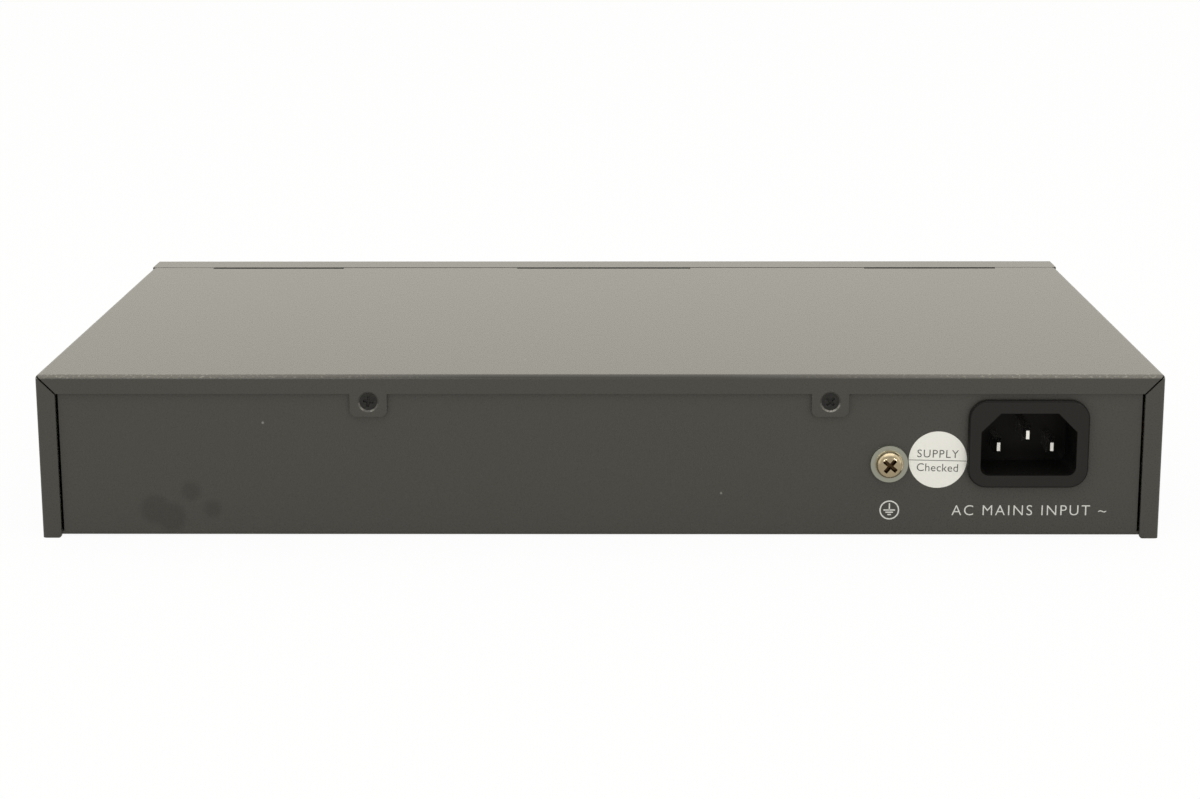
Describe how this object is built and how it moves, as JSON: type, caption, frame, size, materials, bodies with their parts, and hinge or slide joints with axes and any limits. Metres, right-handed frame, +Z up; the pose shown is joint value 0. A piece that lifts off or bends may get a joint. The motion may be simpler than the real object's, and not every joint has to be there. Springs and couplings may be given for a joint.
{
  "type": "ethernet switch",
  "caption": "Desktop ethernet switch in a folded grey steel case, port blocks and status lights in front, mains inlet, ground screw and round label behind",
  "frame": {"origin": "middle of the case's underside, on the surface it stands on", "axes": "+Z up, -Y out of the port side, +Y out of the mains inlet side, X across the width"},
  "size_m": [0.294, 0.1824, 0.044],
  "materials": {
    "case_paint": "satin grey textured powder coat",
    "black_screw": "black oxide steel",
    "plated_steel": "nickel plated steel",
    "plated_brass": "nickel plated brass",
    "inlet_plastic": "black moulded plastic",
    "label_film": "white printed film",
    "circuit_board": "green solder mask",
    "port_shield": "nickel plated spring sheet",
    "port_plastic": "black moulded plastic",
    "port_contact": "gold plated spring wire",
    "light_lens": "diffused lens",
    "chip_mould": "black moulded epoxy",
    "pad_rubber": "soft grey pad",
    "sink_metal": "plain aluminium",
    "crystal_can": "bright can",
    "capacitor_sleeve": "dark shrink sleeve",
    "film_box": "yellow moulded box",
    "winding_tape": "yellow insulating tape",
    "ferrite": "dark ferrite",
    "bobbin_plastic": "black moulded plastic",
    "disc_coat": "blue lacquer",
    "fuse_body": "brown moulded cap",
    "plug_plastic": "natural nylon",
    "terminal_sleeve": "clear sleeve over spade terminals",
    "insulator_film": "thin insulating film",
    "brown_lead": "brown lead insulation",
    "blue_lead": "blue lead insulation",
    "earth_lead": "green and yellow lead insulation",
    "red_lead": "red lead insulation"
  },
  "bodies": {
    "root": {"cover": "case_paint", "chassis_tray": "case_paint", "cover_screws": "black_screw", "ground_screw": "plated_steel", "ground_washer": "plated_steel", "ground_nut": "plated_steel", "board_screws": "plated_steel", "supply_screws": "plated_steel", "board_standoffs": "plated_steel", "supply_standoffs": "plated_steel", "inlet_line_pin": "plated_brass", "inlet_neutral_pin": "plated_brass", "inlet_earth_pin": "plated_brass", "ring_terminal": "plated_brass", "ac_inlet_housing": "inlet_plastic", "light_holder": "inlet_plastic", "test_label": "label_film", "main_board": "circuit_board", "supply_board": "circuit_board", "jack_shield_inner": "port_shield", "jack_shield_outer": "port_shield", "jack_housing_inner": "port_plastic", "jack_housing_outer": "port_plastic", "jack_contacts_inner": "port_contact", "jack_contacts_outer": "port_contact", "status_lights": "light_lens", "switch_chip": "chip_mould", "memory_chip": "chip_mould", "port_transformers": "chip_mould", "power_packages": "chip_mould", "bridge_rectifier": "chip_mould", "board_inductors": "chip_mould", "thermal_pad": "pad_rubber", "chip_heatsink": "sink_metal", "rail_heatsinks": "sink_metal", "crystal": "crystal_can", "bulk_capacitor": "capacitor_sleeve", "output_capacitors": "capacitor_sleeve", "board_capacitors": "capacitor_sleeve", "film_capacitor": "film_box", "transformer_winding": "winding_tape", "transformer_core": "ferrite", "noise_choke": "ferrite", "transformer_bobbin": "bobbin_plastic", "disc_capacitor": "disc_coat", "fuse": "fuse_body", "board_power_header": "plug_plastic", "board_power_plug": "plug_plastic", "supply_output_header": "plug_plastic", "supply_output_plug": "plug_plastic", "supply_input_header": "plug_plastic", "supply_input_plug": "plug_plastic", "spade_terminals": "terminal_sleeve", "supply_insulator": "insulator_film", "line_lead": "brown_lead", "neutral_lead": "blue_lead", "earth_lead": "earth_lead", "supply_leads": "red_lead"}
  },
  "joints": []
}
